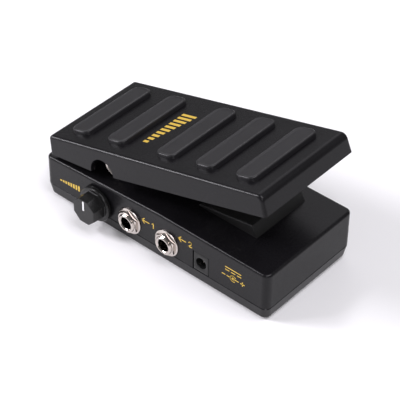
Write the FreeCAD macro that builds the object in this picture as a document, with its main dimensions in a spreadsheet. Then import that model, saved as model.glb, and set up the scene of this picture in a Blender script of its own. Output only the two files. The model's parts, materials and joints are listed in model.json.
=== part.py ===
import FreeCAD, Part
import math
import os
import re
import Sketcher
from FreeCAD import Placement, Rotation, Vector

# Volume pedal with a boost control. X runs from the heel end to the toe end, the control wall
# faces -Y, Z is up, and the origin is the centre of the underside. Millimetres and degrees.

os.makedirs("parts", exist_ok=True)
doc = FreeCAD.newDocument("volume_pedal")

SIZES = {
    # enclosure: a shell with a deck that falls towards the heel, closed by a shallow tray
    "base_length": 140, "base_width": 62.6, "sole": 1.5, "seam": 7.9, "deck": 28.4,
    "heel_deck": 24.2, "bend": 5, "wall": 2.5, "corner": 3.5, "edge": 1.4, "seam_edge": 0.3,
    "tray_floor": 1.6, "tray_taper": 9, "tray_edge": 0.8, "hole_gap": 0.2, "close_gap": 0.1,
    "sole_length": 118, "sole_width": 44, "sole_corner": 5,
    "post_x": 64, "post_y": 25.3, "post_radius": 3.6, "screw_radius": 1.5, "screw_length": 14,
    "countersink": 1.35, "small_post": 3.2, "post_blend": 0.5, "small_screw_depth": 3,
    "screw_head": 2.7, "screw_head_tall": 1.8, "screw_head_edge": 0.5,
    # controls along the near wall
    "jack_height": 14.1, "jack_one": -13.8, "jack_two": 9.9, "jack_body": 12.8,
    "jack_depth": 21.3, "jack_relief": 0.6, "sleeve_radius": 4.7, "plug_radius": 3.25, "sleeve_reach": 3.3,
    "jack_washer": 7.1, "jack_nut_flats": 11, "jack_nut": 1.6, "thin_washer": 0.7,
    "knob_x": -34.7, "knob_height": 13.9, "knob_skirt": 9.4, "knob_reach": 10, "knob_gap": 0.8,
    "knob_front": 1, "knob_flange": 2.2, "knob_recess": 2.8, "grip_radius": 7.8, "grip_taper": 3,
    "grip_sides": 8, "grip_edge": 0.35, "flange_edge": 0.8, "nut_space": 6.3,
    "pointer_width": 0.9, "pointer_length": 5.4, "pointer_thick": 0.25, "pointer_rise": 3.6,
    "socket_x": 30.7, "socket_width": 9.1, "socket_top": 18.8, "socket_gap": 0.35,
    "socket_hole": 3, "socket_pin": 1.05, "socket_depth": 14,
    "socket_bore": 10, "pin_length": 7.6,
    "pot_width": 9.7, "pot_bushing": 3.5, "pot_nut_flats": 10, "pot_nut": 1.9,
    "pot_washer_radius": 5.4, "pot_washer": 0.5,
    "boost_shaft": 3, "boost_pot_depth": 6.8, "boost_thread": 3, "pot_step": 0.4, "shaft_seat": 1.5,
    # circuit boards
    "board": 1.6, "board_top": 7.7, "board_wide": 19.6, "main_board": 87, "main_board_x": -1.5,
    "output_board": 42, "board_gap": 0.5, "chip_long": 9.4, "chip_wide": 6.4, "chip_tall": 3.4,
    "chip_y": -22, "can_radius": 2.5, "can_tall": 7, "can_left": -25, "can_right": 20, "can_near": -19,
    "can_far": -12,
    # rocker pivot
    "pivot_x": -31.1, "pivot_height": 32.9, "tilt": 14.9, "axle_radius": 3, "axle_half": 23,
    "running_gap": 0.05, "bush_wall": 1, "bush_flange": 0.8, "bush_reach": 2.5, "lug_inner": 16.3,
    "lug_outer": 21.3, "lug_radius": 6.5, "cheek_inner": 11.2, "cheek_outer": 15.2,
    "clip_radius": 6.1, "clip": 0.7, "clip_rim": 1.5, "clip_lip": 0.25, "clip_bevel": 1.1, "clip_gap": 0.4,
    # treadle, measured from the pivot axis along and across its own top face
    "treadle_length": 136.2, "treadle_width": 60.7, "heel_reach": 34.8, "top_rise": 13,
    "plate": 3, "skirt": 2.6, "skirt_flare": 4.6, "heel_skirt": 3.4,
    "toe_skirt": 2.7, "notch_radius": 7.6, "toe_round": 3.5, "heel_round": 2.2,
    "side_round": 1.6, "bumper_radius": 3.5, "bumper_stem": 1, "heel_bumper_x": -24.8, "heel_bumper_z": 2.4,
    "heel_bumper_y": 14, "toe_bumper_x": 85.2, "toe_bumper_z": 3.2, "toe_bumper_y": 18,
    # tread pads: two at the heel, three at the toe
    "pad_length": 46.9, "pad_width": 11.9, "pad_rise": 2.2, "pad_corner": 4, "pad_draft": 5,
    "pad_pitch": 24.2, "heel_pads": -20.1, "toe_pads": 36.5,
    # gear drive from the treadle to the volume control
    "gear_module": 0.8, "sector_teeth": 150, "pinion_teeth": 12, "pressure_angle": 20,
    "tooth_tip": 0.62, "tooth_root": 0.95, "tooth_slack": 0.16, "mesh_angle": 7.6,
    "sector_inner": 51, "sector_near": -6.3, "sector_far": -1.5, "pinion_near": -7.1,
    "pinion_far": -0.9, "foot_near": -8.9, "foot_far": 1.1, "foot_left": 43.5,
    "foot_right": 66.5, "foot": 3, "foot_top": 8.5, "foot_screw_left": 47,
    "foot_screw_right": 63, "volume_shaft": 2,
    # cover over the gears, and the bay under it
    "bay_left": 16.5, "bay_right": 46, "bay_near": -11, "bay_far": 18.5,
    "cover_left": 14.5, "cover_ridge": 46.1, "cover_right": 49.3, "cover_near": -14,
    "cover_far": 21.3, "cover_low": 1, "cover_high": 5.9, "cover_wall": 1.6, "cover_round": 0.6,
    "cover_thin_end": 4, "cover_thick_end": 2.1, "cover_ridge_wall": 1.1, "tab_width": 8, "tab_near": 14,
    "tab_tall": 1.4,
    "slot_left": 17.6, "slot_right": 31, "slot_near": -7.3, "slot_far": -0.5,
    # volume control and its bracket
    "bracket_near": 2, "bracket": 1.5, "bracket_left": 27.6, "bracket_right": 57,
    "bracket_low": 18, "bracket_high": 29.2, "bracket_step": 40.5, "bracket_shelf": 47,
    "shelf_far": 17, "shelf_top": 23.9, "shelf_screw_x": 52, "shelf_screw_y": 7,
    "shelf_screw_pitch": 7, "volume_pot_depth": 11, "volume_pot_tall": 10, "volume_thread": 0.6,
    "shaft_in": 2, "shaft_out": 8,
}

dims = doc.addObject("Spreadsheet::Sheet", "dims")
for row, (alias, number) in enumerate(SIZES.items(), start=1):
    dims.set(f"A{row}", alias)
    dims.set(f"B{row}", str(number))
    dims.setAlias(f"B{row}", alias)
doc.recompute()

NODES = []


def linked(text):
    """Put the sheet's name in front of every size named in an expression."""
    return re.sub(r"[a-z][a-z_]*", lambda word: "dims." + word.group()
                  if word.group() in SIZES else word.group(), str(text))


def value(text):
    return float(dims.evalExpression(linked(text)))


def node(piece, label):
    """Give a finished piece the label that names its file."""
    piece.Label = label
    NODES.append(piece)
    return piece


def new_body(name):
    return doc.addObject("PartDesign::Body", name)


def new_sketch(body, plane, level="0"):
    """A sketch on one of the body's origin planes. An XZ sketch at level n lies at Y = -n."""
    support = [item for item in body.Origin.OriginFeatures if item.Role == plane + "_Plane"]
    sketch = body.newObject("Sketcher::SketchObject", body.Name + "_sketch")
    sketch.AttachmentSupport = [(support[0], "")]
    sketch.MapMode = "FlatFace"
    sketch.setExpression("AttachmentOffset.Base.z", linked(level))
    return sketch


def dimension(sketch, constraint, text):
    index = sketch.addConstraint(constraint)
    name = f"size_{index}"
    sketch.renameConstraint(index, name)
    sketch.setExpression("Constraints." + name, linked(text))


def outline(sketch, corners):
    """A closed outline of straight lines, each corner placed by two expressions."""
    points = [Vector(value(x), value(y), 0) for x, y in corners]
    first = sketch.GeometryCount
    count = len(points)
    for index in range(count):
        sketch.addGeometry(Part.LineSegment(points[index], points[(index + 1) % count]))
    for index, (x, y) in enumerate(corners):
        line = first + index
        following = first + (index + 1) % count
        sketch.addConstraint(Sketcher.Constraint("Coincident", line, 2, following, 1))
        point = points[index]
        dimension(sketch, Sketcher.Constraint("DistanceX", -1, 1, line, 1, point.x), x)
        dimension(sketch, Sketcher.Constraint("DistanceY", -1, 1, line, 1, point.y), y)


def rectangle(sketch, left, low, right, high):
    outline(sketch, [(left, low), (right, low), (right, high), (left, high)])


def circle(sketch, x, y, radius):
    centre = Vector(value(x), value(y), 0)
    ring = sketch.addGeometry(Part.Circle(centre, Vector(0, 0, 1), value(radius)))
    dimension(sketch, Sketcher.Constraint("DistanceX", -1, 1, ring, 3, centre.x), x)
    dimension(sketch, Sketcher.Constraint("DistanceY", -1, 1, ring, 3, centre.y), y)
    dimension(sketch, Sketcher.Constraint("Radius", ring, value(radius)), radius)


def hexagon(sketch, flats):
    """A hexagon about the sketch's origin, with two flats parallel to its horizontal axis."""
    half = f"({flats}) / 2"
    side = f"({flats}) / 2 / sqrt(3)"
    outline(sketch, [(f"-{side}", f"-{half}"), (side, f"-{half}"), (f"2 * {side}", "0"),
                     (side, half), (f"-{side}", half), (f"-2 * {side}", "0")])


def pad(sketch, length, centred=False, downward=False, taper="0"):
    feature = sketch.getParentGeoFeatureGroup().newObject("PartDesign::Pad", "pad")
    feature.Profile = sketch
    feature.SideType = "Symmetric" if centred else "One side"
    feature.Reversed = downward
    feature.setExpression("Length", linked(length))
    feature.setExpression("TaperAngle", linked(taper))
    doc.recompute()
    return feature


def pocket(sketch, length, centred=False, backward=False, taper="0"):
    """Cut against the sketch's normal, or along it when backward is set."""
    body = sketch.getParentGeoFeatureGroup()
    before = body.Shape.Volume
    feature = body.newObject("PartDesign::Pocket", "pocket")
    feature.Profile = sketch
    feature.SideType = "Symmetric" if centred else "One side"
    feature.Reversed = backward
    feature.setExpression("Length", linked(length))
    feature.setExpression("TaperAngle", linked(taper))
    doc.recompute()
    if body.Shape.Volume > before - 0.001:
        raise RuntimeError(f"a pocket in {body.Name} cuts nothing")
    return feature


def dress(kind, body, size, wanted):
    """Fillet or chamfer the edges of a body's tip that a test picks."""
    base = body.Tip
    names = [f"Edge{index}" for index, edge in enumerate(base.Shape.Edges, start=1) if wanted(edge)]
    feature = body.newObject("PartDesign::" + kind, kind.lower())
    feature.Base = (base, names)
    feature.setExpression("Radius" if kind == "Fillet" else "Size", linked(size))
    doc.recompute()
    return feature


def ends(edge):
    return edge.Vertexes[0].Point, edge.Vertexes[-1].Point


def upright(edge):
    """True for an edge that rises without turning back on itself."""
    start, finish = ends(edge)
    rise = abs(start.z - finish.z)
    return rise > 0.8 * edge.Length and rise > 1


def level_at(edge, height, reach=0.05):
    return all(abs(point.z - height) < reach for point in ends(edge))


def place(piece, x, y, z):
    for axis, text in zip("xyz", (x, y, z)):
        piece.setExpression("Placement.Base." + axis, linked(text))


def turn(piece, axis, angle):
    piece.Placement = Placement(Vector(), Rotation(axis, 1))
    piece.setExpression("Placement.Rotation.Angle", linked(angle))


def on_treadle(piece):
    """Set a piece drawn about the pivot axis at the treadle's rest tilt, toe up."""
    turn(piece, Vector(0, -1, 0), "tilt")
    place(piece, "pivot_x", "0", "pivot_height")


def along_wall(piece, x, y, z):
    """Set a piece drawn along +Z so that it points out of the near wall."""
    turn(piece, Vector(1, 0, 0), "90")
    place(piece, x, y, z)


def turned(name, profile):
    """A piece turned about its own Z axis from a half outline of (radius, height) corners."""
    body = new_body(name)
    sketch = new_sketch(body, "XZ")
    outline(sketch, profile)
    feature = body.newObject("PartDesign::Revolution", "revolution")
    feature.Profile = sketch
    feature.ReferenceAxis = (sketch, ["V_Axis"])
    feature.Angle = 360
    doc.recompute()
    return body


def tube(name, inner, outer, length):
    return turned(name, [(inner, "0"), (outer, "0"), (outer, length), (inner, length)])


def rod(name, radius, length):
    return tube(name, "0", radius, length)


def slab(name, length, width, height):
    """A flat block centred on its own Z axis."""
    body = new_body(name)
    sketch = new_sketch(body, "XY")
    rectangle(sketch, f"-({length}) / 2", f"-({width}) / 2", f"({length}) / 2", f"({width}) / 2")
    pad(sketch, height)
    return body


def hex_nut(name, flats, bore, length):
    body = new_body(name)
    sketch = new_sketch(body, "XY")
    hexagon(sketch, flats)
    circle(sketch, "0", "0", bore)
    pad(sketch, length)
    return body


def small_screw(name, length):
    """A pan-head screw that points up, with the underside of its head at level 0."""
    rim = "(screw_head - screw_head_edge)"
    return turned(name, [("0", "-screw_head_tall"), (rim, "-screw_head_tall"),
                         ("screw_head", "screw_head_edge - screw_head_tall"), ("screw_head", "0"),
                         ("screw_radius", "0"), ("screw_radius", length), ("0", length)])


def group(pieces, label):
    """One node that holds several separate solids of the same kind."""
    holder = doc.addObject("Part::Compound", label)
    holder.Links = pieces
    return node(holder, label)


# enclosure shell

def base_shell():
    body = new_body("base_shell")
    half = "base_length / 2"
    side = new_sketch(body, "XZ")
    outline(side, [(f"-{half}", "seam"), (half, "seam"), (half, "deck"), ("bend", "deck"),
                   (f"-{half}", "heel_deck")])
    pad(side, "base_width", centred=True)
    dress("Fillet", body, "corner", upright)
    dress("Fillet", body, "edge", lambda edge: min(point.z for point in ends(edge)) > value("seam") + 5
          and not upright(edge) and abs(ends(edge)[0].y + ends(edge)[1].y) > -1
          and not crosses_bend(edge))
    dress("Chamfer", body, "seam_edge", lambda edge: level_at(edge, value("seam")))
    hollow = new_sketch(body, "XZ")
    inside = f"({half} - wall)"
    outline(hollow, [(f"-{inside}", "seam - 1"), (inside, "seam - 1"), (inside, "deck - wall"),
                     ("bend", "deck - wall"), (f"-{inside}", "heel_deck - wall")])
    pocket(hollow, "base_width - 2 * wall", centred=True)
    screw_posts(body)
    pivot_lugs(body)
    wall_openings(body)
    bay = new_sketch(body, "XY", "deck + 1")
    rectangle(bay, "bay_left", "bay_near", "bay_right", "bay_far")
    pocket(bay, "wall + 2")
    return node(body, "base_shell")


def crosses_bend(edge):
    """True for the line across the deck where it starts to fall."""
    start, finish = ends(edge)
    return abs(start.x - value("bend")) < 0.1 and abs(finish.x - value("bend")) < 0.1


def screw_posts(body):
    """Four corner posts that take the tray's screws, and two for the volume bracket."""
    for side, top in (("-1", "heel_deck - wall + post_blend"), ("1", "deck - wall + post_blend")):
        posts = new_sketch(body, "XY", "seam")
        for across in ("-post_y", "post_y"):
            circle(posts, f"{side} * post_x", across, "post_radius")
        pad(posts, f"{top} - seam")
    pilots = new_sketch(body, "XY", "seam")
    for side in ("-post_x", "post_x"):
        for across in ("-post_y", "post_y"):
            circle(pilots, side, across, "screw_radius")
    pocket(pilots, "screw_length - 4", backward=True)
    shelf_posts = new_sketch(body, "XY", "shelf_top")
    shelf_pilots = new_sketch(body, "XY", "shelf_top")
    for across in ("shelf_screw_y", "shelf_screw_y + shelf_screw_pitch"):
        circle(shelf_posts, "shelf_screw_x", across, "small_post")
        circle(shelf_pilots, "shelf_screw_x", across, "screw_radius")
    pad(shelf_posts, "deck - wall + post_blend - shelf_top")
    pocket(shelf_pilots, "small_screw_depth + 0.2", backward=True)


def pivot_lugs(body):
    """Two round-topped lugs on the deck that carry the rocker's axle."""
    for level in ("lug_inner", "-lug_outer"):
        foot = new_sketch(body, "XZ", level)
        rectangle(foot, "pivot_x - lug_radius", "heel_deck", "pivot_x + lug_radius", "pivot_height")
        pad(foot, "lug_outer - lug_inner")
        head = new_sketch(body, "XZ", level)
        circle(head, "pivot_x", "pivot_height", "lug_radius")
        pad(head, "lug_outer - lug_inner")
    bores = new_sketch(body, "XZ")
    circle(bores, "pivot_x", "pivot_height", "axle_radius + running_gap + bush_wall")
    pocket(bores, "base_width", centred=True)


def wall_openings(body):
    """Holes for the jacks, the boost control and the power socket."""
    near = new_sketch(body, "XZ", "base_width / 2 + 1")
    far = new_sketch(body, "XZ", "wall + 1 - base_width / 2")
    for x in ("jack_one", "jack_two"):
        circle(near, x, "jack_height", "sleeve_radius + hole_gap")
        circle(far, x, "jack_height", "sleeve_radius + hole_gap")
    circle(near, "knob_x", "knob_height", "pot_bushing + close_gap")
    half = "(socket_width / 2 + socket_gap)"
    rectangle(near, f"socket_x - {half}", "seam - 1", f"socket_x + {half}", "socket_top + socket_gap")
    pocket(near, "wall + 2")
    pocket(far, "wall + 2")


# tray, sole and screws

def bottom_cover():
    body = new_body("bottom_cover")
    plan = new_sketch(body, "XY", "seam")
    rectangle(plan, "-base_length / 2", "-base_width / 2", "base_length / 2", "base_width / 2")
    pad(plan, "seam - sole", downward=True, taper="-tray_taper")
    dress("Fillet", body, "corner", upright)
    dress("Fillet", body, "tray_edge", lambda edge: level_at(edge, value("sole")))
    dress("Chamfer", body, "seam_edge", lambda edge: level_at(edge, value("seam")))
    inside = new_sketch(body, "XY", "seam")
    half = "(base_length / 2 - wall)"
    across = "(base_width / 2 - wall)"
    rectangle(inside, f"-{half}", f"-{across}", half, across)
    pocket(inside, "seam - sole - tray_floor")
    posts = new_sketch(body, "XY", "sole + 1")
    holes = new_sketch(body, "XY", "seam + 1")
    for x in ("-post_x", "post_x"):
        for y in ("-post_y", "post_y"):
            circle(posts, x, y, "post_radius")
            circle(holes, x, y, "screw_radius + hole_gap")
    pad(posts, "seam - sole - 1")
    pocket(holes, "seam + 1")
    dress("Chamfer", body, "countersink", lambda edge: edge.Curve.TypeId == "Part::GeomCircle"
          and edge.Curve.Radius < value("screw_radius + 0.5")
          and abs(edge.Curve.Center.z - value("sole")) < 0.01)
    return node(body, "bottom_cover")


def cover_screws():
    screws = []
    for x in ("-post_x", "post_x"):
        for y in ("-post_y", "post_y"):
            screw = turned("cover_screw", [("0", "0"), ("2 * screw_radius", "0"),
                           ("screw_radius", "screw_radius"), ("screw_radius", "screw_length"),
                           ("0", "screw_length")])
            place(screw, x, y, "sole")
            screws.append(screw)
    return group(screws, "cover_screws")


def sole_mat():
    body = slab("sole_mat", "sole_length", "sole_width", "sole")
    dress("Fillet", body, "sole_corner", upright)
    return node(body, "sole_mat")


# jacks

def jacks():
    """Two input jacks on the near wall and two output jacks facing them."""
    nuts = []
    washers = []
    for role, turned_by, sign in (("input", "90", "-1"), ("output", "-90", "1")):
        for number, x in (("1", "jack_one"), ("2", "jack_two")):
            name = f"{role}_jack_{number}"
            wall_inside = f"{sign} * (base_width / 2 - wall)"
            wall_outside = f"{sign} * base_width / 2"

            def fit(piece, y):
                turn(piece, Vector(1, 0, 0), turned_by)
                place(piece, x, y, "jack_height")

            housing = new_body(name + "_housing")
            section = new_sketch(housing, "XY")
            rectangle(section, "-jack_body / 2", "-jack_body / 2", "jack_body / 2", "jack_body / 2")
            circle(section, "0", "0", "plug_radius + jack_relief")
            pad(section, "jack_depth", downward=True)
            fit(housing, wall_inside)
            node(housing, name + "_housing")
            sleeve = tube(name + "_sleeve", "plug_radius", "sleeve_radius", "wall + sleeve_reach")
            fit(sleeve, wall_inside)
            node(sleeve, name + "_sleeve")
            washer = tube("jack_washer", "sleeve_radius", "jack_washer", "thin_washer")
            fit(washer, wall_outside)
            washers.append(washer)
            nut = hex_nut("jack_nut", "jack_nut_flats", "sleeve_radius", "jack_nut")
            fit(nut, f"{sign} * (base_width / 2 + thin_washer)")
            nuts.append(nut)
    group(washers, "jack_washers")
    group(nuts, "jack_nuts")


# boost control

def boost_pot():
    """The rotary control behind the knob, with a threaded bushing through the wall."""
    body = new_body("boost_pot")
    inside = "(base_width / 2 - wall - pot_step)"
    case = new_sketch(body, "XZ", inside)
    rectangle(case, "knob_x - pot_width / 2", "board_top", "knob_x + pot_width / 2",
              "knob_height + pot_width / 2")
    pad(case, "boost_pot_depth", downward=True)
    bushing = new_sketch(body, "XZ", inside)
    circle(bushing, "knob_x", "knob_height", "pot_bushing")
    pad(bushing, "wall + pot_step + boost_thread")
    bore = new_sketch(body, "XZ", "base_width / 2 + boost_thread + 2")
    circle(bore, "knob_x", "knob_height", "boost_shaft + running_gap")
    pocket(bore, "wall + boost_thread + 2 + shaft_seat")
    node(body, "boost_pot")
    shaft = rod("boost_pot_shaft", "boost_shaft", "wall + knob_reach - knob_front")
    along_wall(shaft, "knob_x", "-(base_width / 2 - wall)", "knob_height")
    node(shaft, "boost_pot_shaft")
    washer = tube("boost_pot_washer", "pot_bushing", "pot_washer_radius", "pot_washer")
    along_wall(washer, "knob_x", "-base_width / 2", "knob_height")
    node(washer, "boost_pot_washer")
    nut = hex_nut("boost_pot_nut", "pot_nut_flats", "pot_bushing", "pot_nut")
    along_wall(nut, "knob_x", "-(base_width / 2 + pot_washer)", "knob_height")
    node(nut, "boost_pot_nut")


def boost_knob():
    """A round skirt with an eight-sided grip that narrows to the front."""
    back = "(base_width / 2 + knob_gap)"
    body = new_body("boost_knob")
    skirt = new_sketch(body, "XY")
    circle(skirt, "0", "0", "knob_skirt")
    pad(skirt, "knob_flange")
    dress("Fillet", body, "flange_edge", lambda edge: edge.Curve.TypeId == "Part::GeomCircle"
          and abs(edge.Curve.Center.z - value("knob_flange")) < 0.01)
    grip = new_sketch(body, "XY", "knob_flange - 0.2")
    sides = int(value("grip_sides"))
    bearings = [360 * (index + 0.5) / sides for index in range(sides)]
    outline(grip, [(f"grip_radius * cos({angle})", f"grip_radius * sin({angle})") for angle in bearings])
    pad(grip, "knob_reach - knob_gap - knob_flange + 0.2", taper="-grip_taper")
    dress("Chamfer", body, "grip_edge", lambda edge: level_at(edge, value("knob_reach - knob_gap")))
    recess = new_sketch(body, "XY")
    circle(recess, "0", "0", "nut_space")
    pocket(recess, "knob_recess", backward=True)
    bore = new_sketch(body, "XY")
    circle(bore, "0", "0", "boost_shaft")
    pocket(bore, "knob_reach - knob_gap - knob_front", backward=True)
    along_wall(body, "knob_x", f"-{back}", "knob_height")
    node(body, "boost_knob")
    pointer = slab("knob_pointer", "pointer_width", "pointer_length", "pointer_thick")
    along_wall(pointer, "knob_x", "-(base_width / 2 + knob_reach)", "knob_height + pointer_rise")
    node(pointer, "knob_pointer")


# power socket and boards

def power_socket():
    body = new_body("power_socket")
    face = new_sketch(body, "XZ", "base_width / 2 - 0.2")
    rectangle(face, "socket_x - socket_width / 2", "seam", "socket_x + socket_width / 2", "socket_top")
    pad(face, "socket_depth", downward=True)
    hole = new_sketch(body, "XZ", "base_width / 2 + 1")
    circle(hole, "socket_x", "(seam + socket_top) / 2", "socket_hole")
    pocket(hole, "socket_bore + 1")
    node(body, "power_socket")
    pin = turned("power_socket_pin", [("0", "0"), ("socket_pin", "0"), ("socket_pin", "pin_length - 0.6"),
                                      ("socket_pin - 0.4", "pin_length"), ("0", "pin_length")])
    along_wall(pin, "socket_x", "-(base_width / 2 - socket_bore)", "(seam + socket_top) / 2")
    node(pin, "power_socket_pin")


def circuit_boards():
    """The main board lies under the near controls, the output board under the far jacks."""
    middle = "((base_width - board_wide) / 2 - wall - board_gap)"
    main = slab("main_board", "main_board", "board_wide", "board")
    place(main, "main_board_x", f"-{middle}", "board_top - board")
    node(main, "main_board")
    output = slab("output_board", "output_board", "board_wide", "board")
    place(output, "(jack_one + jack_two) / 2", middle, "board_top - board")
    node(output, "output_board")
    chip = slab("amplifier_chip", "chip_long", "chip_wide", "chip_tall")
    place(chip, "(jack_one + jack_two) / 2", "chip_y", "board_top")
    node(chip, "amplifier_chip")
    cans = []
    for x, y in (("can_left", "can_far"), ("can_left", "can_near"), ("can_right", "can_far")):
        can = rod("capacitor", "can_radius", "can_tall")
        place(can, x, y, "board_top")
        cans.append(can)
    group(cans, "capacitors")


# treadle

def treadle_shell():
    """A cast shell with flared skirts, deepest at the pivot, and a round notch over the axle's ends."""
    body = new_body("treadle_shell")
    toe = "(treadle_length - heel_reach)"
    plan = new_sketch(body, "XY", "top_rise")
    rectangle(plan, "-heel_reach", "-treadle_width / 2", toe, "treadle_width / 2")
    pad(plan, "top_rise + 2", downward=True, taper="skirt_flare")
    dress("Fillet", body, "toe_round", lambda edge: level_at(edge, value("top_rise"))
          and all(point.x > 90 for point in ends(edge)))
    dress("Fillet", body, "heel_round", lambda edge: level_at(edge, value("top_rise"))
          and all(point.x < value("0.1 - heel_reach") for point in ends(edge)))
    limit = value("treadle_width / 2 - 0.1")
    dress("Fillet", body, "side_round", lambda edge: all(abs(point.y) > limit for point in ends(edge))
          and ends(edge)[0].y * ends(edge)[1].y > 0
          and max(point.z for point in ends(edge)) > value("top_rise - 4"))
    below = new_sketch(body, "XZ")
    outline(below, [("-heel_reach - 4", "heel_skirt"), ("-heel_reach - 4", "-4"), (f"{toe} + 4", "-4"),
                    (f"{toe} + 4", "toe_skirt"), ("notch_radius", "-0.1"), ("-notch_radius", "0.1")])
    pocket(below, "treadle_width + 20", centred=True)
    hollow = new_sketch(body, "XY", "top_rise - plate")
    rectangle(hollow, "skirt - heel_reach", "skirt - treadle_width / 2", f"{toe} - skirt",
              "treadle_width / 2 - skirt")
    pocket(hollow, "top_rise", taper="skirt_flare")
    notch = new_sketch(body, "XZ")
    circle(notch, "0", "0", "notch_radius")
    pocket(notch, "treadle_width + 20", centred=True)
    axle_cheeks(body)
    treadle_posts(body)
    on_treadle(body)
    return node(body, "treadle_shell")


def axle_cheeks(body):
    """Two round-ended ribs inside the lugs that grip the axle."""
    for level in ("cheek_inner", "-cheek_outer"):
        web = new_sketch(body, "XZ", level)
        rectangle(web, "-lug_radius", "0", "lug_radius", "top_rise - plate + post_blend")
        pad(web, "cheek_outer - cheek_inner")
        end = new_sketch(body, "XZ", level)
        circle(end, "0", "0", "lug_radius")
        pad(end, "cheek_outer - cheek_inner")
    hole = new_sketch(body, "XZ")
    circle(hole, "0", "0", "axle_radius")
    pocket(hole, "2 * cheek_outer + 4", centred=True)


def treadle_posts(body):
    """Posts under the plate for the bumpers and for the gear sector's foot."""
    ceiling = "top_rise - plate + post_blend"
    for name in ("heel", "toe"):
        level = f"{name}_bumper_z + bumper_stem"
        posts = new_sketch(body, "XY", level)
        for side in ("-1", "1"):
            circle(posts, f"{name}_bumper_x", f"{side} * {name}_bumper_y", "bumper_radius + post_blend")
        pad(posts, f"{ceiling} - ({level})")
    bosses = new_sketch(body, "XY", "foot_top")
    pilots = new_sketch(body, "XY", "foot_top")
    for x in ("foot_screw_left", "foot_screw_right"):
        circle(bosses, x, "(foot_near + foot_far) / 2", "small_post")
        circle(pilots, x, "(foot_near + foot_far) / 2", "screw_radius")
    pad(bosses, f"{ceiling} - foot_top")
    pocket(pilots, "small_screw_depth + 0.2", backward=True)


def tread_pads():
    places = [f"heel_pads + {index} * pad_pitch" for index in range(2)]
    places += [f"toe_pads + {index} * pad_pitch" for index in range(3)]
    for number, x in enumerate(places, start=1):
        body = new_body(f"tread_pad_{number}")
        plan = new_sketch(body, "XY", "top_rise")
        rectangle(plan, f"{x} - pad_width / 2", "-pad_length / 2", f"{x} + pad_width / 2", "pad_length / 2")
        pad(plan, "pad_rise", taper="-pad_draft")
        dress("Fillet", body, "pad_corner", upright)
        on_treadle(body)
        node(body, f"tread_pad_{number}")


def bumpers():
    """Round-ended rubber buttons under the treadle that meet the deck at both ends of its travel."""
    for name in ("heel", "toe"):
        buttons = []
        for side in ("-1", "1"):
            ball = doc.addObject("Part::Sphere", "bumper_end")
            ball.setExpression("Radius", linked("bumper_radius"))
            stem = doc.addObject("Part::Cylinder", "bumper_stem")
            stem.setExpression("Radius", linked("bumper_radius"))
            stem.setExpression("Height", linked("bumper_stem"))
            button = doc.addObject("Part::Fuse", name + "_bumper")
            cap = doc.addObject("Part::Box", "bumper_flat")
            reach = value("3 * bumper_radius")
            cap.Length = cap.Width = 2 * reach
            cap.Height = reach
            cap.Placement = Placement(Vector(-reach, -reach, value("bumper_stem")), Rotation())
            button.Base = ball
            button.Tool = stem
            cut = doc.addObject("Part::Cut", name + "_bumper_cut")
            cut.Base = button
            cut.Tool = cap
            place(cut, f"{name}_bumper_x", f"{side} * {name}_bumper_y", f"{name}_bumper_z")
            buttons.append(cut)
        on_treadle(group(buttons, name + "_bumpers"))


# pivot

def pivot_parts():
    """The axle turns with the treadle in two flanged bushes, held by a dished clip at each end."""
    axle = rod("pivot_axle", "axle_radius", "2 * axle_half")
    along_wall(axle, "pivot_x", "axle_half", "pivot_height")
    node(axle, "pivot_axle")
    bushes = []
    clips = []
    for sign, turned_by in (("-1", "90"), ("1", "-90")):
        bush = turned("pivot_bush", [("axle_radius + running_gap", "-bush_flange"),
                      ("axle_radius + bush_reach", "-bush_flange"), ("axle_radius + bush_reach", "0"),
                      ("axle_radius + running_gap + bush_wall", "0"),
                      ("axle_radius + running_gap + bush_wall", "lug_outer - lug_inner"),
                      ("axle_radius + running_gap", "lug_outer - lug_inner")])
        turn(bush, Vector(1, 0, 0), turned_by)
        place(bush, "pivot_x", f"{sign} * lug_inner", "pivot_height")
        bushes.append(bush)
        clip = turned("axle_clip", [("axle_radius", "0"), ("clip_radius", "0"), ("clip_radius", "clip_rim"),
                      ("clip_radius - clip_lip", "clip_rim"), ("clip_radius - clip_bevel", "clip"),
                      ("axle_radius", "clip")])
        turn(clip, Vector(1, 0, 0), turned_by)
        place(clip, "pivot_x", f"{sign} * (lug_outer + clip_gap)", "pivot_height")
        clips.append(clip)
    group(bushes, "pivot_bushes")
    group(clips, "axle_clips")


# gear drive

def polar(radius, angle):
    """A point in the XZ plane about the origin; angles in degrees above +X."""
    return Vector(radius * math.cos(math.radians(angle)), 0, radius * math.sin(math.radians(angle)))


def involute(angle):
    return math.tan(angle) - angle


def tooth(teeth, centre):
    """The outline of one gear tooth from root to root, with its centre line at an angle."""
    pitch = value("gear_module") * teeth / 2
    pressure = math.radians(value("pressure_angle"))
    base = pitch * math.cos(pressure)
    tip = pitch + value("tooth_tip")
    root = pitch - value("tooth_root")
    thickness = math.pi * value("gear_module") / 2 - value("tooth_slack")
    steps = 4
    start = max(base, root)
    radii = [start + (tip - start) * index / steps for index in range(steps + 1)]

    def half_angle(radius):
        at_pitch = thickness / 2 / pitch + involute(pressure)
        return math.degrees(at_pitch - involute(math.acos(min(1, base / radius))))

    rising = [polar(radius, centre - half_angle(radius)) for radius in radii]
    falling = [polar(radius, centre + half_angle(radius)) for radius in reversed(radii)]
    if root < start:
        rising.insert(0, polar(root, centre - half_angle(start)))
        falling.append(polar(root, centre + half_angle(start)))
    return rising + falling


def extruded(points, near, far):
    """A solid between two Y levels from a closed outline in the XZ plane."""
    shift = Vector(0, near, 0)
    wire = Part.makePolygon([point + shift for point in points + points[:1]])
    return Part.Face(wire).extrude(Vector(0, far - near, 0))


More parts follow.
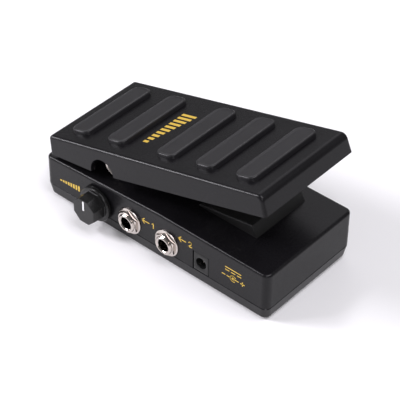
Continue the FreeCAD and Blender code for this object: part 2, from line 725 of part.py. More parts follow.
def sector_arm():
    """A toothed arc about the pivot, with a foot that screws to the underside of the treadle."""
    teeth = int(value("sector_teeth"))
    step = 360 / teeth
    contact = -value("mesh_angle") - value("tilt")
    pitch = value("gear_module") * teeth / 2
    inner = value("sector_inner")
    root = pitch - value("tooth_root")
    points = []
    for index in range(-1, 10):
        points += tooth(teeth, contact + index * step)
    low = contact - 1.5 * step
    high = math.degrees(math.asin(value("foot_top - 1.5") / root))
    points.insert(0, polar(root, low))
    points.append(polar(root, contact + 9.7 * step))
    points.append(polar(root, high))
    arc_steps = 14
    last = math.degrees(math.asin(value("foot_top - 1.5") / inner))
    points += [polar(inner, last + (low - last) * index / arc_steps) for index in range(arc_steps + 1)]
    arc = extruded(points, value("sector_near"), value("sector_far"))
    foot = Part.makeBox(value("foot_right - foot_left"), value("foot_far - foot_near"), value("foot"),
                        Vector(value("foot_left"), value("foot_near"), value("foot_top - foot")))
    arm = arc.fuse(foot)
    for x in ("foot_screw_left", "foot_screw_right"):
        corner = Vector(value(x), value("(foot_near + foot_far) / 2"), value("foot_top - foot - 1"))
        arm = arm.cut(Part.makeCylinder(value("screw_radius + close_gap"), value("foot + 2"), corner))
    piece = doc.addObject("Part::Feature", "sector_arm")
    piece.Shape = arm.removeSplitter()
    on_treadle(piece)
    return node(piece, "sector_arm")


def sector_screws():
    screws = []
    for x in ("foot_screw_left", "foot_screw_right"):
        screw = small_screw("sector_screw", "foot + small_screw_depth")
        place(screw, x, "(foot_near + foot_far) / 2", "foot_top - foot")
        screws.append(screw)
    on_treadle(group(screws, "sector_screws"))


# where the pinion meets the sector: below the level of the pivot, towards the toe
PINION_X = "pivot_x + gear_module * (sector_teeth + pinion_teeth) / 2 * cos(mesh_angle)"
PINION_Z = "pivot_height - gear_module * (sector_teeth + pinion_teeth) / 2 * sin(mesh_angle)"


def drive_pinion():
    teeth = int(value("pinion_teeth"))
    first = 180 - value("mesh_angle") + 180 / teeth
    points = []
    for index in range(teeth):
        points += tooth(teeth, first + index * 360 / teeth)
    near = value("pinion_near")
    length = value("pinion_far - pinion_near")
    gear = extruded(points, near, near + length)
    bore = Part.makeCylinder(value("volume_shaft"), length, Vector(0, near, 0), Vector(0, 1, 0))
    piece = doc.addObject("Part::Feature", "drive_pinion")
    piece.Shape = gear.cut(bore)
    place(piece, PINION_X, "0", PINION_Z)
    return node(piece, "drive_pinion")


def volume_control():
    """A two-gang rotary control on a bracket, with the pinion on its shaft."""
    body = new_body("volume_pot")
    face = "-(bracket_near + bracket)"
    case = new_sketch(body, "XZ", face)
    rectangle(case, "-pot_width / 2", "-volume_pot_tall / 2", "pot_width / 2", "volume_pot_tall / 2")
    pad(case, "volume_pot_depth", downward=True)
    bushing = new_sketch(body, "XZ", face)
    circle(bushing, "0", "0", "pot_bushing")
    pad(bushing, "bracket_near + bracket + volume_thread")
    bore = new_sketch(body, "XZ", "1")
    circle(bore, "0", "0", "volume_shaft + running_gap")
    pocket(bore, "bracket_near + bracket + 1 + shaft_in")
    place(body, PINION_X, "0", PINION_Z)
    node(body, "volume_pot")
    inner_end = "bracket_near + bracket + shaft_seat"
    shaft = rod("volume_pot_shaft", "volume_shaft", inner_end + " + shaft_out")
    along_wall(shaft, PINION_X, inner_end, PINION_Z)
    node(shaft, "volume_pot_shaft")
    washer = tube("volume_pot_washer", "pot_bushing", "pot_washer_radius", "pot_washer")
    along_wall(washer, PINION_X, "bracket_near", PINION_Z)
    node(washer, "volume_pot_washer")
    nut = hex_nut("volume_pot_nut", "pot_nut_flats", "pot_bushing", "pot_nut")
    along_wall(nut, PINION_X, "bracket_near - pot_washer", PINION_Z)
    node(nut, "volume_pot_nut")


def pot_bracket():
    """A bent plate: the upright holds the volume control, the shelf hangs from two posts."""
    body = new_body("pot_bracket")
    plate = new_sketch(body, "XZ", "-(bracket_near + bracket)")
    outline(plate, [("bracket_left", "bracket_low"), ("bracket_right", "bracket_low"),
                    ("bracket_right", "shelf_top"), ("bracket_step", "shelf_top"),
                    ("bracket_step", "bracket_high"), ("bracket_left", "bracket_high")])
    circle(plate, PINION_X, PINION_Z, "pot_bushing + close_gap")
    pad(plate, "bracket")
    shelf = new_sketch(body, "XY", "shelf_top")
    rectangle(shelf, "bracket_shelf", "bracket_near + 0.5", "bracket_right", "shelf_far")
    for y in ("shelf_screw_y", "shelf_screw_y + shelf_screw_pitch"):
        circle(shelf, "shelf_screw_x", y, "screw_radius + close_gap")
    pad(shelf, "bracket", downward=True)
    node(body, "pot_bracket")
    screws = []
    for y in ("shelf_screw_y", "shelf_screw_y + shelf_screw_pitch"):
        screw = small_screw("bracket_screw", "bracket + small_screw_depth")
        place(screw, "shelf_screw_x", y, "shelf_top - bracket")
        screws.append(screw)
    group(screws, "bracket_screws")


def gear_cover():
    """A wedge over the gears, with a slot for the sector and two snap tabs under the deck."""
    body = new_body("gear_cover")
    width = "cover_far - cover_near"
    side = new_sketch(body, "XZ", "-cover_far")
    outline(side, [("cover_left", "deck"), ("cover_right", "deck"), ("cover_ridge", "deck + cover_high"),
                   ("cover_left", "deck + cover_low")])
    pad(side, width)
    dress("Fillet", body, "cover_round",
          lambda edge: min(point.z for point in ends(edge)) > value("deck + cover_low - 0.1"))
    hollow = new_sketch(body, "XZ", "-cover_far + cover_wall")
    inside = "deck + cover_high - cover_wall - hole_gap"
    thin = "cover_left + cover_thin_end"
    thick = "cover_right - cover_thick_end"
    outline(hollow, [(thin, "deck - 1"), (thick, "deck - 1"), (thick, "deck"),
                     ("cover_ridge - cover_ridge_wall", inside), (thin, "deck + 0.05")])
    pocket(hollow, f"{width} - 2 * cover_wall", backward=True)
    slot = new_sketch(body, "XY", "deck + cover_high")
    rectangle(slot, "slot_left", "slot_near", "slot_right", "slot_far")
    pocket(slot, "cover_high + 1")
    snap_tabs(body)
    return node(body, "gear_cover")


def snap_tabs(body):
    """Hooks at both ends of the bay that catch the underside of the deck."""
    grip = "deck - wall - close_gap"
    tail = f"{grip} - tab_tall"
    front = new_sketch(body, "XZ", "-tab_near")
    outline(front, [("bay_right - 1.6", tail), ("bay_right - 0.8", tail), ("bay_right + 0.7", grip),
                    ("bay_right - 0.2", grip), ("bay_right - 0.2", "deck"), ("bay_right + 1.6", "deck"),
                    ("bay_right + 1", "deck + 1.6"), ("bay_right - 1.6", "deck + 1.6")])
    pad(front, "tab_width")
    back = new_sketch(body, "XZ", "-tab_near")
    outline(back, [("bay_left + 1.6", tail), ("bay_left + 1.6", "deck + 0.6"),
                   ("bay_left + 0.2", "deck + 0.6"), ("bay_left + 0.2", grip),
                   ("bay_left - 0.7", grip), ("bay_left + 0.8", tail)])
    pad(back, "tab_width")


def write_parts():
    """Export every node once the whole document has been checked."""
    doc.recompute()
    faults = [item.Label for item in doc.Objects if {"Invalid", "Error"} & set(item.State)]
    for piece in NODES:
        shape = piece.Shape
        if shape.isNull() or not shape.isValid() or not shape.Solids:
            faults.append(piece.Label)
    if faults:
        raise RuntimeError("faulty: " + ", ".join(faults))
    for piece in NODES:
        piece.Shape.exportStep(f"parts/{piece.Label}.step")
        box = piece.Shape.BoundBox
        print(f"{piece.Label:24} solids {len(piece.Shape.Solids)}  volume {piece.Shape.Volume:9.1f}  "
              f"X {box.XMin:7.2f} {box.XMax:7.2f}  Y {box.YMin:7.2f} {box.YMax:7.2f}  "
              f"Z {box.ZMin:6.2f} {box.ZMax:6.2f}")


base_shell()
bottom_cover()
cover_screws()
sole_mat()
jacks()
boost_pot()
boost_knob()
power_socket()
circuit_boards()
gear_cover()
pot_bracket()
volume_control()
drive_pinion()
treadle_shell()
tread_pads()
bumpers()
pivot_parts()
sector_arm()
sector_screws()
write_parts()
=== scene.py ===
import json
import math

import bmesh
import bpy
from mathutils import Matrix, Vector


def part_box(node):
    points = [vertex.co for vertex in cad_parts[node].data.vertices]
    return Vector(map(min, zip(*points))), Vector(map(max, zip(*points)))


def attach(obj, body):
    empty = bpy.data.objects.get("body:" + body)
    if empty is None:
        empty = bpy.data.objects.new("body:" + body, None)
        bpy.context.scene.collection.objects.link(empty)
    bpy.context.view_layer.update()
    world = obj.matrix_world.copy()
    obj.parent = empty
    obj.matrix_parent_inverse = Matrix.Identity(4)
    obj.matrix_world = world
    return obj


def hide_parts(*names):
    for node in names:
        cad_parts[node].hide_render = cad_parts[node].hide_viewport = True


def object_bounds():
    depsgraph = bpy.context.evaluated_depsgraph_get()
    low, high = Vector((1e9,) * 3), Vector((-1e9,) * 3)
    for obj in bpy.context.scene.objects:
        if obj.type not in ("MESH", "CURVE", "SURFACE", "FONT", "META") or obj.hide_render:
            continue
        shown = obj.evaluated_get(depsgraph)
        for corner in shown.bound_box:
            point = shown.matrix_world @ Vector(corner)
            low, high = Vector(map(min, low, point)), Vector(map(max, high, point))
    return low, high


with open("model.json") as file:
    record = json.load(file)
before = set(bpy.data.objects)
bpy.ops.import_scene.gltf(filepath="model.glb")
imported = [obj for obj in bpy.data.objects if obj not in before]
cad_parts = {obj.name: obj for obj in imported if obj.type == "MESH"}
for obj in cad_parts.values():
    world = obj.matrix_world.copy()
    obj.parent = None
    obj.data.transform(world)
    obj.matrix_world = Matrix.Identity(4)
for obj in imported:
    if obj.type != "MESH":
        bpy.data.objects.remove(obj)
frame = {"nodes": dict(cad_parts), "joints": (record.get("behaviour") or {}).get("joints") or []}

nodes = frame["nodes"]
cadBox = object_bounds()
mm = 0.001
print("frame loaded:", len(nodes), "nodes")


def centreOf(node):
    low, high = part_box(node)
    return (low + high) / 2


def jointNamed(name):
    return next(joint for joint in frame["joints"] if joint["name"] == name)


pivot = Vector(jointNamed("treadle_rock")["pos_m"])
firstPad, lastPad = centreOf("tread_pad_1"), centreOf("tread_pad_5")
tilt = math.atan2(lastPad.z - firstPad.z, lastPad.x - firstPad.x)
# from the treadle's own axes (along, across, up from the pivot) to the frame's
treadleFrame = Matrix.Translation(pivot) @ Matrix.Rotation(-tilt, 4, "Y")
# outer faces of the base's two long walls
nearWall, farWall = -31.3 * mm, 31.3 * mm


class Value:
    # a number coming out of a node, so that sums on it can be written out
    def __init__(self, paint, socket):
        self.paint, self.socket = paint, socket

    def sum(self, operation, first, second):
        node = self.paint.add("ShaderNodeMath", {"operation": operation}, {0: first, 1: second})
        return Value(self.paint, node.outputs[0])

    def __add__(self, other):
        return self.sum("ADD", self, other)

    def __radd__(self, other):
        return self.sum("ADD", other, self)

    def __sub__(self, other):
        return self.sum("SUBTRACT", self, other)

    def __rsub__(self, other):
        return self.sum("SUBTRACT", other, self)

    def __mul__(self, other):
        return self.sum("MULTIPLY", self, other)

    def __rmul__(self, other):
        return self.sum("MULTIPLY", other, self)


class Paint:
    # one material and its node tree
    def __init__(self, name, **constants):
        self.material = bpy.data.materials.new(name)
        self.material.use_nodes = True
        self.tree = self.material.node_tree
        self.shader = self.tree.nodes["Principled BSDF"]
        for socket, number in constants.items():
            self.set(socket.replace("_", " "), number)
        self.place = self.add("ShaderNodeTexCoord", {}, {}).outputs["Object"]

    def add(self, kind, settings, inputs):
        node = self.tree.nodes.new(kind)
        for key, setting in settings.items():
            setattr(node, key, setting)
        for key, given in inputs.items():
            self.join(node.inputs[key], given)
        return node

    def join(self, socket, given):
        if isinstance(given, Value):
            self.tree.links.new(given.socket, socket)
        elif isinstance(given, bpy.types.NodeSocket):
            self.tree.links.new(given, socket)
        else:
            socket.default_value = given

    def set(self, socket, given):
        self.join(self.shader.inputs[socket], given)

    def noise(self, scale, detail=2.0, stretch=(1, 1, 1)):
        place = self.place
        if stretch != (1, 1, 1):
            mapping = self.add("ShaderNodeMapping", {}, {"Vector": place, "Scale": stretch})
            place = mapping.outputs[0]
        inputs = {"Vector": place, "Scale": scale, "Detail": detail}
        return Value(self, self.add("ShaderNodeTexNoise", {}, inputs).outputs[0])

    def cells(self, scale, feature="F1"):
        inputs = {"Vector": self.place, "Scale": scale}
        node = self.add("ShaderNodeTexVoronoi", {"feature": feature}, inputs)
        return Value(self, node.outputs[0])

    def stripes(self, scale, direction):
        settings = {"bands_direction": direction, "wave_profile": "SIN"}
        inputs = {"Vector": self.place, "Scale": scale}
        return Value(self, self.add("ShaderNodeTexWave", settings, inputs).outputs[1])

    def blend(self, factor, first, second):
        # inputs 6 and 7 and output 2 are the node's colours
        inputs = {"Factor": factor, 6: first, 7: second}
        return self.add("ShaderNodeMix", {"data_type": "RGBA"}, inputs).outputs[2]

    def ramp(self, factor, low, high):
        # 0 below low, 1 above high
        inputs = {"Value": factor, "From Min": low, "From Max": high}
        return Value(self, self.add("ShaderNodeMapRange", {}, inputs).outputs[0])

    def bump(self, height, strength, distance):
        inputs = {"Height": height, "Strength": strength, "Distance": distance}
        self.set("Normal", self.add("ShaderNodeBump", {}, inputs).outputs[0])


def grey(level, tint=(1, 1, 1)):
    return (level * tint[0], level * tint[1], level * tint[2], 1)


noiseMiddle = 0.5
paintTint = (1, 0.94, 1.1)
rubberTint = (1, 0.95, 1.09)

# below, a noise is (scale, detail, stretch) and a bump is (strength, distance)
blackPaint = {"colours": (grey(0.0048, paintTint), grey(0.0075, paintTint)), "gloss": 0.22,
              "cloud": (60, 4), "peel": (900, 2), "grain": (5200, 1),
              "rough": 0.27, "cloudRough": 0.08, "grainRough": 0.08,
              "peelShare": 0.7, "grainShare": 0.3, "bump": (0.12, 0.00006)}


def paintedMetal():
    use = blackPaint
    paint = Paint("satinBlackPaint", Specular_IOR_Level=use["gloss"])
    cloud = paint.noise(*use["cloud"])
    peel = paint.noise(*use["peel"])
    grain = paint.noise(*use["grain"])
    paint.set("Base Color", paint.blend(cloud, *use["colours"]))
    paint.set("Roughness", use["rough"] + (cloud - noiseMiddle) * use["cloudRough"]
              + (grain - noiseMiddle) * use["grainRough"])
    paint.bump(peel * use["peelShare"] + grain * use["grainShare"], *use["bump"])
    return paint.material


blackRubber = {"colours": (grey(0.0095, rubberTint), grey(0.014, rubberTint)), "gloss": 0.44,
               "cloud": (90, 4), "grain": (3600, 3), "pits": 2400,
               "rough": 0.34, "cloudRough": 0.12, "grainRough": 0.1,
               "grainShare": 0.6, "pitShare": 0.4, "bump": (0.25, 0.00008)}


def mouldedRubber():
    use = blackRubber
    paint = Paint("mouldedRubber", Specular_IOR_Level=use["gloss"])
    cloud = paint.noise(*use["cloud"])
    grain = paint.noise(*use["grain"])
    pits = paint.cells(use["pits"])
    paint.set("Base Color", paint.blend(cloud, *use["colours"]))
    paint.set("Roughness", use["rough"] + (cloud - noiseMiddle) * use["cloudRough"]
              + (grain - noiseMiddle) * use["grainRough"])
    paint.bump(grain * use["grainShare"] + pits * use["pitShare"], *use["bump"])
    return paint.material


soleLook = {"colours": (grey(0.010), grey(0.02)), "gloss": 0.4, "cloud": (70, 4),
            "ribs": 95, "rough": 0.6, "cloudRough": 0.14, "bump": (0.6, 0.0003)}


def ribbedRubber():
    # the sole's sheet, with a fine diamond grip
    use = soleLook
    paint = Paint("soleRubber", Specular_IOR_Level=use["gloss"])
    grip = paint.stripes(use["ribs"], "DIAGONAL") * paint.stripes(use["ribs"], "Y")
    cloud = paint.noise(*use["cloud"])
    paint.set("Base Color", paint.blend(cloud, *use["colours"]))
    paint.set("Roughness", use["rough"] + (cloud - noiseMiddle) * use["cloudRough"])
    paint.bump(grip, *use["bump"])
    return paint.material


glossLook = {"colours": (grey(0.006), grey(0.011)), "gloss": 0.32, "cloud": (140, 3),
             "scuffs": (500, 4, (1, 1, 6)), "scuffsFrom": 0.6, "scuffsFull": 0.8,
             "rough": 0.2, "cloudRough": 0.06, "scuffRough": 0.12, "bump": (0.05, 0.00005)}


def glossPlastic():
    use = glossLook
    paint = Paint("glossBlackPlastic", Specular_IOR_Level=use["gloss"])
    cloud = paint.noise(*use["cloud"])
    scuffs = paint.ramp(paint.noise(*use["scuffs"]), use["scuffsFrom"], use["scuffsFull"])
    paint.set("Base Color", paint.blend(cloud, *use["colours"]))
    paint.set("Roughness", use["rough"] + cloud * use["cloudRough"] + scuffs * use["scuffRough"])
    paint.bump(cloud, *use["bump"])
    return paint.material


satinLook = {"colours": (grey(0.006), grey(0.011)), "gloss": 0.35, "cloud": (120, 3),
             "grain": (2600, 3), "rough": 0.48, "grainRough": 0.16, "bump": (0.2, 0.00006)}


def satinPlastic():
    use = satinLook
    paint = Paint("satinBlackPlastic", Specular_IOR_Level=use["gloss"])
    grain = paint.noise(*use["grain"])
    cloud = paint.noise(*use["cloud"])
    paint.set("Base Color", paint.blend(cloud, *use["colours"]))
    paint.set("Roughness", use["rough"] + (grain - noiseMiddle) * use["grainRough"])
    paint.bump(grain, *use["bump"])
    return paint.material


plateLook = {"cloud": (220, 3), "hairs": (900, 3, (1, 14, 1)), "dulling": (0.82, 0.8, 0.77),
             "bump": (0.08, 0.00003)}


def plated(name, tone, rough, spread):
    use = plateLook
    paint = Paint(name, Metallic=1.0)
    cloud = paint.noise(*use["cloud"])
    hairs = paint.noise(*use["hairs"])
    dull = [part * share for part, share in zip(tone, use["dulling"])]
    paint.set("Base Color", paint.blend(cloud, (*tone, 1), (*dull, 1)))
    paint.set("Roughness", rough + cloud * spread + (hairs - noiseMiddle) * spread)
    paint.bump(hairs, *use["bump"])
    return paint.material


boardLook = {"mask": (0.006, 0.075, 0.03, 1), "track": (0.02, 0.16, 0.06, 1), "cells": 330,
             "trackEdge": (0.02, 0.06), "cloud": (400, 2), "rough": 0.28, "cloudRough": 0.12,
             "bump": (0.3, 0.00004)}


def circuitGreen():
    # solder mask with copper tracks showing through as lighter lines
    use = boardLook
    paint = Paint("circuitBoard")
    lines = 1 - paint.ramp(paint.cells(use["cells"], "DISTANCE_TO_EDGE"), *use["trackEdge"])
    paint.set("Base Color", paint.blend(lines, use["mask"], use["track"]))
    paint.set("Roughness", use["rough"] + paint.noise(*use["cloud"]) * use["cloudRough"])
    paint.bump(lines, *use["bump"])
    return paint.material


def cloudyPaint(use):
    # one noise for the colour and the roughness, and one for the bump, if there is one
    paint = Paint(use["name"], **use.get("constants", {}))
    cloud = paint.noise(*use["cloud"])
    rough, spread = use["rough"]
    paint.set("Base Color", paint.blend(cloud, *use["colours"]))
    paint.set("Roughness", rough + cloud * spread)
    if "bump" in use:
        paint.bump(paint.noise(*use["grain"]), *use["bump"])
    return paint.material


cloudyLooks = {
    "white": {"name": "whiteInk", "colours": (grey(0.78), grey(0.9)), "cloud": (700, 3),
              "rough": (0.42, 0.15)},
    "gold": {"name": "goldInk", "constants": {"Metallic": 0.25}, "cloud": (900, 4),
             "colours": ((0.78, 0.55, 0.09, 1), (0.64, 0.41, 0.05, 1)), "rough": (0.36, 0.16),
             "grain": (6500, 2), "bump": (0.2, 0.00003)},
    "nylon": {"name": "naturalNylon", "cloud": (200, 3),
              "constants": {"Subsurface_Weight": 0.15, "Subsurface_Scale": 0.002},
              "colours": ((0.72, 0.70, 0.62, 1), (0.80, 0.78, 0.71, 1)), "rough": (0.38, 0.14),
              "grain": (2600, 2), "bump": (0.12, 0.00005)},
    "can": {"name": "sleevedCan", "cloud": (300, 3), "rough": (0.25, 0.12),
            "colours": ((0.015, 0.02, 0.035, 1), (0.03, 0.035, 0.055, 1))},
    "chip": {"name": "chipEpoxy", "colours": (grey(0.012), grey(0.022)), "cloud": (2200, 3),
             "rough": (0.5, 0.15), "grain": (2200, 3), "bump": (0.3, 0.00005)},
}

paints = {"paint": paintedMetal(), "rubber": mouldedRubber(), "sole": ribbedRubber(),
          "gloss": glossPlastic(), "satin": satinPlastic(), "board": circuitGreen(),
          "chrome": plated("brightPlate", (0.66, 0.61, 0.58), 0.09, 0.1),
          "zinc": plated("zincPlate", (0.60, 0.60, 0.58), 0.28, 0.14),
          "steel": plated("drawnSteel", (0.56, 0.55, 0.54), 0.24, 0.16)}
for finish, look in cloudyLooks.items():
    paints[finish] = cloudyPaint(look)

# which finish each piece of the frame shows
sides = ("input", "output")
sleeves = [f"{side}_jack_{number}_sleeve" for side in sides for number in (1, 2)]
housings = [f"{side}_jack_{number}_housing" for side in sides for number in (1, 2)]
nodeFinish = {
    "paint": ["base_shell", "bottom_cover", "treadle_shell"],
    "rubber": ["heel_bumpers", "toe_bumpers"] + [f"tread_pad_{number}" for number in range(1, 6)],
    "sole": ["sole_mat"],
    "gloss": ["boost_knob", "power_socket"],
    "satin": ["gear_cover"] + housings,
    "chip": ["amplifier_chip"],
    "white": ["knob_pointer"],
    "nylon": ["pivot_bushes", "drive_pinion"],
    "chrome": ["jack_nuts", "jack_washers", "axle_clips", "power_socket_pin"] + sleeves,
    "zinc": ["cover_screws", "bracket_screws", "sector_screws", "boost_pot_nut",
             "boost_pot_washer", "volume_pot_nut", "volume_pot_washer"],
    "steel": ["pivot_axle", "pot_bracket", "boost_pot_shaft", "volume_pot_shaft", "boost_pot",
              "volume_pot", "sector_arm"],
    "board": ["main_board", "output_board"],
    "can": ["capacitors"],
}
for finish, names in nodeFinish.items():
    for name in names:
        nodes[name].data.materials.clear()
        nodes[name].data.materials.append(paints[finish])
print("materials given to", sum(len(names) for names in nodeFinish.values()), "nodes")


def finishMesh(name, mesh, finish, body, sharp=35):
    # edges steeper than sharp, in degrees, stay crisp
    built = bpy.data.meshes.new(name)
    bmesh.ops.remove_doubles(mesh, verts=mesh.verts, dist=1e-7)
    bmesh.ops.recalc_face_normals(mesh, faces=mesh.faces)
    mesh.to_mesh(built)
    mesh.free()
    built.materials.append(paints[finish])
    built.shade_smooth()
    built.set_sharp_from_angle(angle=math.radians(sharp))
    piece = bpy.data.objects.new(name, built)
    bpy.context.scene.collection.objects.link(piece)
    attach(piece, body)
    return piece


def skin(mesh, rings, closeStart=False, closeEnd=False):
    # joins closed rings of points, all as long as each other, with quads
    made = [[mesh.verts.new(point) for point in ring] for ring in rings]
    for near, far in zip(made, made[1:]):
        for index in range(len(near)):
            after = (index + 1) % len(near)
            mesh.faces.new((near[index], near[after], far[after], far[index]))
    if closeStart:
        mesh.faces.new(made[0][::-1])
    if closeEnd:
        mesh.faces.new(made[-1])


def polygonRing(corners, flat, corner, steps, height, place):
    # an even polygon in millimetres, flat and corner being the radii to its flats and of its
    # corners; a circle where the two are equal
    half = math.pi / corners
    ring = []
    for index in range(corners):
        bearing = 2 * half * (index + 0.5)
        centre = (flat - corner) / math.cos(half)
        for step in range(steps + 1):
            angle = bearing - half + 2 * half * (step / steps if steps else 0.5)
            if corner == flat:
                angle = 2 * half * (index + step / (steps + 1))
            ring.append(place @ (Vector((centre * math.cos(bearing) + corner * math.cos(angle),
                                         centre * math.sin(bearing) + corner * math.sin(angle),
                                         height)) * mm))
    return ring


def turnedRing(radius, height, segments, place):
    # segments is a multiple of the arcs
    arcs = 24
    return polygonRing(arcs, radius, radius, segments // arcs - 1, height, place)


def lathe(mesh, profile, place, segments=72, closeStart=False, closeEnd=False):
    # turns a profile of (radius, height) in millimetres about the place's height axis
    rings = [turnedRing(radius, height, segments, place) for radius, height in profile]
    skin(mesh, rings, closeStart, closeEnd)


def boxRing(halfLong, halfWide, corner, steps, height, place):
    # a rectangle with rounded corners, in millimetres
    ring = []
    for quarter, (signX, signY) in enumerate(((1, 1), (-1, 1), (-1, -1), (1, -1))):
        for step in range(steps + 1):
            angle = math.pi / 2 * (quarter + step / steps)
            ring.append(place @ (Vector((signX * (halfLong - corner) + corner * math.cos(angle),
                                         signY * (halfWide - corner) + corner * math.sin(angle),
                                         height)) * mm))
    return ring


def outOfWall(x, y, z, side):
    # a place whose height axis points out of the near wall (side -1) or the far wall (side 1)
    return Matrix.Translation((x, y, z)) @ Matrix.Rotation(-side * math.pi / 2, 4, "X")


padShape = {"long": 46.9, "wide": 11.9, "corner": 4.0, "leastCorner": 0.3, "steps": 10,
            "tall": 2.2,
            # inset from the outline and height above the treadle
            "edge": [(0.0, 0.0), (0.05, 0.6), (0.13, 1.5), (0.2, 1.86), (0.33, 2.08),
                     (0.52, 2.18), (0.75, 2.2), (0.98, 2.18), (1.2, 2.1), (1.42, 2.04),
                     (2.4, 2.04), (4.0, 2.06)]}


def treadPads():
    use = padShape
    for number in range(1, 6):
        name = f"tread_pad_{number}"
        middle = treadleFrame.inverted() @ centreOf(name)
        foot = middle.z - use["tall"] / 2 * mm
        place = treadleFrame @ Matrix.Translation((middle.x, 0, foot))
        rings = []
        for inset, height in use["edge"]:
            corner = max(use["corner"] - inset, use["leastCorner"])
            rings.append(boxRing(use["wide"] / 2 - inset, use["long"] / 2 - inset, corner,
                                 use["steps"], height, place))
        mesh = bmesh.new()
        skin(mesh, rings, closeStart=True, closeEnd=True)
        pad = finishMesh(f"pad_{number}", mesh, "rubber", "treadle", sharp=50)
        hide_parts(name)


treadPads()
print("tread pads built")

jackShape = {"height": 14.1, "along": (-13.8, 9.9), "wall": 2.5, "reach": 5.8,
             "bore": 3.25, "mouth": 0.5, "lip": 0.35, "lipRound": (0.12, 0.08),
             "sleeve": 4.7, "bevel": 0.1, "collar": 0.2, "threadRoot": 4.42,
             "threadPitch": 0.62, "threadEnd": 0.4, "crestCut": 0.02, "crestHalf": 0.06,
             "washer": 7.1, "washerThick": 0.7, "washerBevel": 0.3, "washerFoot": 0.12,
             "nutFlats": 11, "nutThick": 1.6, "nutRound": 5.6}


def jackPlaces():
    use = jackShape
    for side, wall in ((-1, nearWall), (1, farWall)):
        for number, along in enumerate(use["along"], start=1):
            yield side, number, outOfWall(along * mm, wall, use["height"] * mm, side)


def threadedSleeve(mesh, place):
    # heights count from the outside of the wall
    use = jackShape
    back, front = -use["wall"], use["reach"] - use["wall"]
    root, pitch, bevel = use["threadRoot"], use["threadPitch"], use["bevel"]
    crest, crestHalf = use["sleeve"] - use["crestCut"], use["crestHalf"]
    bore, lip = use["bore"], use["bore"] + use["lip"]
    lipOut, lipDown = use["lipRound"]
    profile = [(bore, back), (bore, front - use["mouth"]), (lip, front - lipDown),
               (lip + lipOut, front), (root - bevel, front), (root, front - bevel)]
    level = front - bevel - pitch / 2
    while level - pitch / 2 > use["threadEnd"]:
        profile += [(crest, level + crestHalf), (crest, level - crestHalf),
                    (root, level - pitch / 2)]
        level -= pitch
    profile += [(use["sleeve"], use["collar"]), (use["sleeve"], back), (bore, back)]
    lathe(mesh, profile, place)


nutShape = {"points": 72, "chamfer": 30, "edge": 0.05, "boreBevel": 0.25}


def hexNut(mesh, flats, bore, low, high, roundTo, place):
    # a hexagon whose outer corners are turned off to a circle, and whose bore has a bevel
    use = nutShape
    edge, sixth = use["edge"], math.pi / 3
    angles = [2 * math.pi * index / use["points"] for index in range(use["points"])]

    def turned(radius, height):
        return [place @ (Vector((radius * math.cos(angle), radius * math.sin(angle), height)) * mm)
                for angle in angles]

    outer, rim, face = [], [], []
    for angle in angles:
        toFlat = (angle + sixth / 2) % sixth - sixth / 2
        radius = flats / 2 / math.cos(toFlat)
        drop = max(0.0, radius - roundTo) * math.tan(math.radians(use["chamfer"]))
        spot = Vector((math.cos(angle), math.sin(angle), 0))
        outer.append(place @ ((spot * radius + Vector((0, 0, low))) * mm))
        rim.append(place @ ((spot * radius + Vector((0, 0, high - edge - drop))) * mm))
        face.append(place @ ((spot * min(radius - edge, roundTo) + Vector((0, 0, high))) * mm))
    bevel = use["boreBevel"]
    skin(mesh, [outer, rim, face, turned(bore + bevel, high), turned(bore, high - bevel),
                turned(bore, low), outer])


def jackFittings():
    use = jackShape
    washers, nuts = bmesh.new(), bmesh.new()
    inner, wide, thick = use["sleeve"], use["washer"], use["washerThick"]
    edge, bevel = use["bevel"], use["washerBevel"]
    washer = [(inner, 0), (wide - edge, 0), (wide, use["washerFoot"]), (wide, thick - bevel),
              (wide - edge, thick - edge), (wide - bevel, thick), (inner, thick), (inner, 0)]
    for side, number, place in jackPlaces():
        mesh = bmesh.new()
        threadedSleeve(mesh, place)
        name = f"{sides[side > 0]}_jack_{number}_sleeve"
        sleeve = finishMesh(name + "_threaded", mesh, "chrome", "base", sharp=30)
        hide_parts(name)
        lathe(washers, washer, place)
        hexNut(nuts, use["nutFlats"], inner, thick, thick + use["nutThick"], use["nutRound"],
               place)
    piece = finishMesh("chrome_washers", washers, "chrome", "base", sharp=30)
    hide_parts("jack_washers")
    piece = finishMesh("chrome_nuts", nuts, "chrome", "base", sharp=20)
    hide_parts("jack_nuts")


jackFittings()
print("jack fittings built")

knobShape = {"along": -34.7, "height": 13.9, "gap": 0.8, "sides": 8, "steps": 5,
             "corner": 0.35, "middleCorner": 0.2,
             # radius and height: up the hollow for the shaft and nut, then out over the skirt
             "round": [(3.0, 8.2), (3.0, 2.8), (6.3, 2.8), (6.3, 0), (9.3, 0), (9.4, 0.1),
                       (9.4, 1.4), (9.32, 1.75), (9.1, 2.04), (8.7, 2.2)],
             # radius to the flats and height, up the eight-sided grip to its front
             "grip": [(7.45, 2.22), (7.23, 2.45), (6.84, 8.85), (6.74, 9.08), (6.49, 9.2),
                      (5.94, 9.2)],
             "middle": (4.34, 9.2)}


def boostKnob():
    use = knobShape
    place = outOfWall(use["along"] * mm, nearWall - use["gap"] * mm, use["height"] * mm, -1)

    def ring(flat, height, corner):
        return polygonRing(use["sides"], flat, corner, use["steps"], height, place)

    rings = [ring(radius, height, radius) for radius, height in use["round"]]
    rings += [ring(flat, height, use["corner"]) for flat, height in use["grip"]]
    rings.append(ring(*use["middle"], use["middleCorner"]))
    mesh = bmesh.new()
    skin(mesh, rings, closeStart=True, closeEnd=True)
    knob = finishMesh("knob_moulding", mesh, "gloss", "knob", sharp=26)
    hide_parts("boost_knob")


boostKnob()

socketShape = {"corner": 0.6, "steps": 11,
               # inset and depth around the face, then radius and depth down the hole
               "edge": [(0, 0.3), (0.09, 0.09), (0.3, 0)],
               "hole": [(3.25, 0), (3.06, 0.08), (3.0, 0.25), (3.0, 10.0)]}


